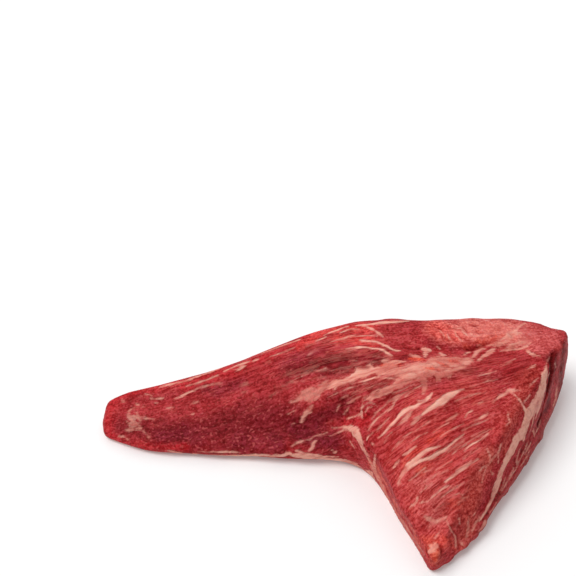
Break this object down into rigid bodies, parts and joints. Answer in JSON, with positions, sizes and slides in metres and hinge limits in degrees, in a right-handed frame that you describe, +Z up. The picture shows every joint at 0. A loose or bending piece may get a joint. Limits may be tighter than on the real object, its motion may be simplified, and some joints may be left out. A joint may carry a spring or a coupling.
{
  "type": "raw beef tri-tip",
  "caption": "Raw beef tri-tip: a whole triangular cut with a long tapering tail, a blunt cut end and seams of fat, lying flat.",
  "frame": {"origin": "on the table, under the middle of the bounding box", "axes": "+Z up from the table, +X from the tail tip towards the thick corner, -Y towards the front corner"},
  "size_m": [0.293, 0.1656, 0.0597],
  "materials": {
    "meat": "moist raw meat, satin"
  },
  "bodies": {
    "root": {"tri_tip": "meat"}
  },
  "joints": []
}
